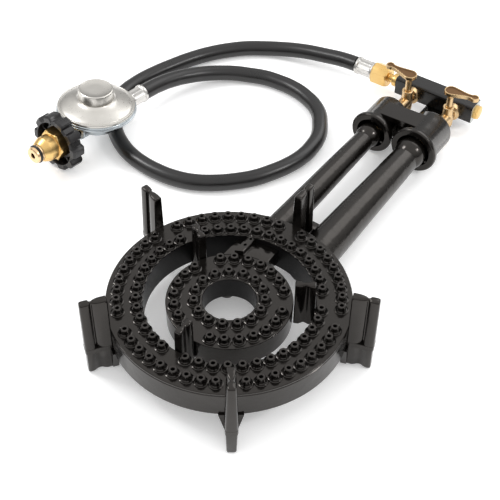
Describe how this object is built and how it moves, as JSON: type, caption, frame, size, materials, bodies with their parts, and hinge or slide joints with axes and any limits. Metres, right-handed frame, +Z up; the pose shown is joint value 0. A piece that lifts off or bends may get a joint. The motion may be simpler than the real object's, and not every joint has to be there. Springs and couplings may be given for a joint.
{
  "type": "twin-ring gas burner",
  "caption": "Cast-iron twin-ring LPG burner stand on pot-support legs, with two mixing tubes, two lever cocks on a manifold bar, a hose and a regulator.",
  "frame": {"origin": "on the ground, under the middle of the burner's bounding box, which leaves out the hose and what is on it", "axes": "+Y from the rings along the mixing tubes to the manifold bar, +Z up, +X to the right seen from the rings"},
  "size_m": [0.3942, 0.4605, 0.076],
  "materials": {
    "cast_iron": "glossy black enamel paint over sand-cast iron",
    "cast_iron_head": "glossy black paint over machined cast iron",
    "bar_paint": "black gloss paint, bare at the sawn end",
    "bright_brass": "bright machined",
    "raw_brass": "tumbled, slightly dull",
    "plated_steel": "zinc plated, crimped",
    "die_cast": "satin zinc alloy",
    "spring_steel": "bright wire",
    "hose_rubber": "semi-gloss black",
    "seal_rubber": "satin black",
    "handwheel_plastic": "satin black moulding"
  },
  "bodies": {
    "burner": {"outer_ring_trough": "cast_iron", "outer_ring_head": "cast_iron_head", "inner_ring_trough": "cast_iron", "inner_ring_head": "cast_iron_head", "gas_bridge": "cast_iron_head", "mixing_tube_left": "cast_iron", "mixing_tube_right": "cast_iron", "tube_web": "cast_iron", "leg_back": "cast_iron", "leg_left": "cast_iron", "leg_front_left": "cast_iron", "leg_front_right": "cast_iron", "leg_right": "cast_iron", "finger_front": "cast_iron", "finger_left": "cast_iron", "finger_right": "cast_iron", "air_housing": "cast_iron", "manifold_bar": "bar_paint", "bar_end_plug": "bright_brass", "manifold_bracket": "bar_paint", "bracket_screws": "spring_steel", "inlet_nipple": "bright_brass", "cock_body_left": "raw_brass", "cock_body_right": "raw_brass", "jet_left": "bright_brass", "jet_right": "bright_brass", "hose_nut": "bright_brass", "hose_tail": "bright_brass", "ferrule_manifold": "plated_steel", "gas_hose": "hose_rubber", "ferrule_regulator": "plated_steel", "outlet_barb": "plated_steel", "regulator_body": "die_cast", "regulator_cover": "die_cast", "regulator_cap": "die_cast", "adjuster_screw": "spring_steel", "pressure_spring": "spring_steel", "diaphragm": "seal_rubber", "rocker_pin": "spring_steel", "inlet_spigot": "bright_brass", "nose_seal": "seal_rubber"},
    "cock_left": {"plug_left": "raw_brass", "lever_left": "raw_brass", "plug_nut_left": "raw_brass", "plug_spring_left": "spring_steel"},
    "cock_right": {"plug_right": "raw_brass", "lever_right": "raw_brass", "plug_nut_right": "raw_brass", "plug_spring_right": "spring_steel"},
    "connector": {"pol_nut": "bright_brass", "handwheel": "handwheel_plastic"},
    "diaphragm_unit": {"diaphragm_plate": "die_cast"},
    "rocker_unit": {"rocker": "spring_steel", "valve_disc": "seal_rubber"}
  },
  "joints": [
    {"name": "cock_left_turn", "type": "hinge", "parent": "burner", "child": "cock_left", "pos_m": [-0.0208, 0.19766, 0.03], "axis": [0, 0, 1], "range_deg": [0, 90]},
    {"name": "cock_right_turn", "type": "hinge", "parent": "burner", "child": "cock_right", "pos_m": [0.0238, 0.19766, 0.03], "axis": [0, 0, 1], "range_deg": [-90, 0]},
    {"name": "connector_spin", "type": "hinge", "parent": "burner", "child": "connector", "pos_m": [-0.24908, -0.05395, 0.02809], "axis": [0.0956, 0.993, -0.0698], "continuous": true},
    {"name": "diaphragm_slide", "type": "slide", "parent": "burner", "child": "diaphragm_unit", "axis": [0.0067, 0.0694, 0.9976], "range_m": [0, 0.0016], "stiffness_N_per_m": 300, "springref_m": -0.01, "deforming": ["pressure_spring"]},
    {"name": "rocker_turn", "type": "hinge", "parent": "burner", "child": "rocker_unit", "pos_m": [-0.24546, -0.01636, 0.02344], "axis": [0.9954, -0.0958, 0], "range_deg": [0, 9]}
  ],
  "couplings": [
    {"joint": "rocker_turn", "follows": "diaphragm_slide", "rad_per_m": 83.333}
  ]
}
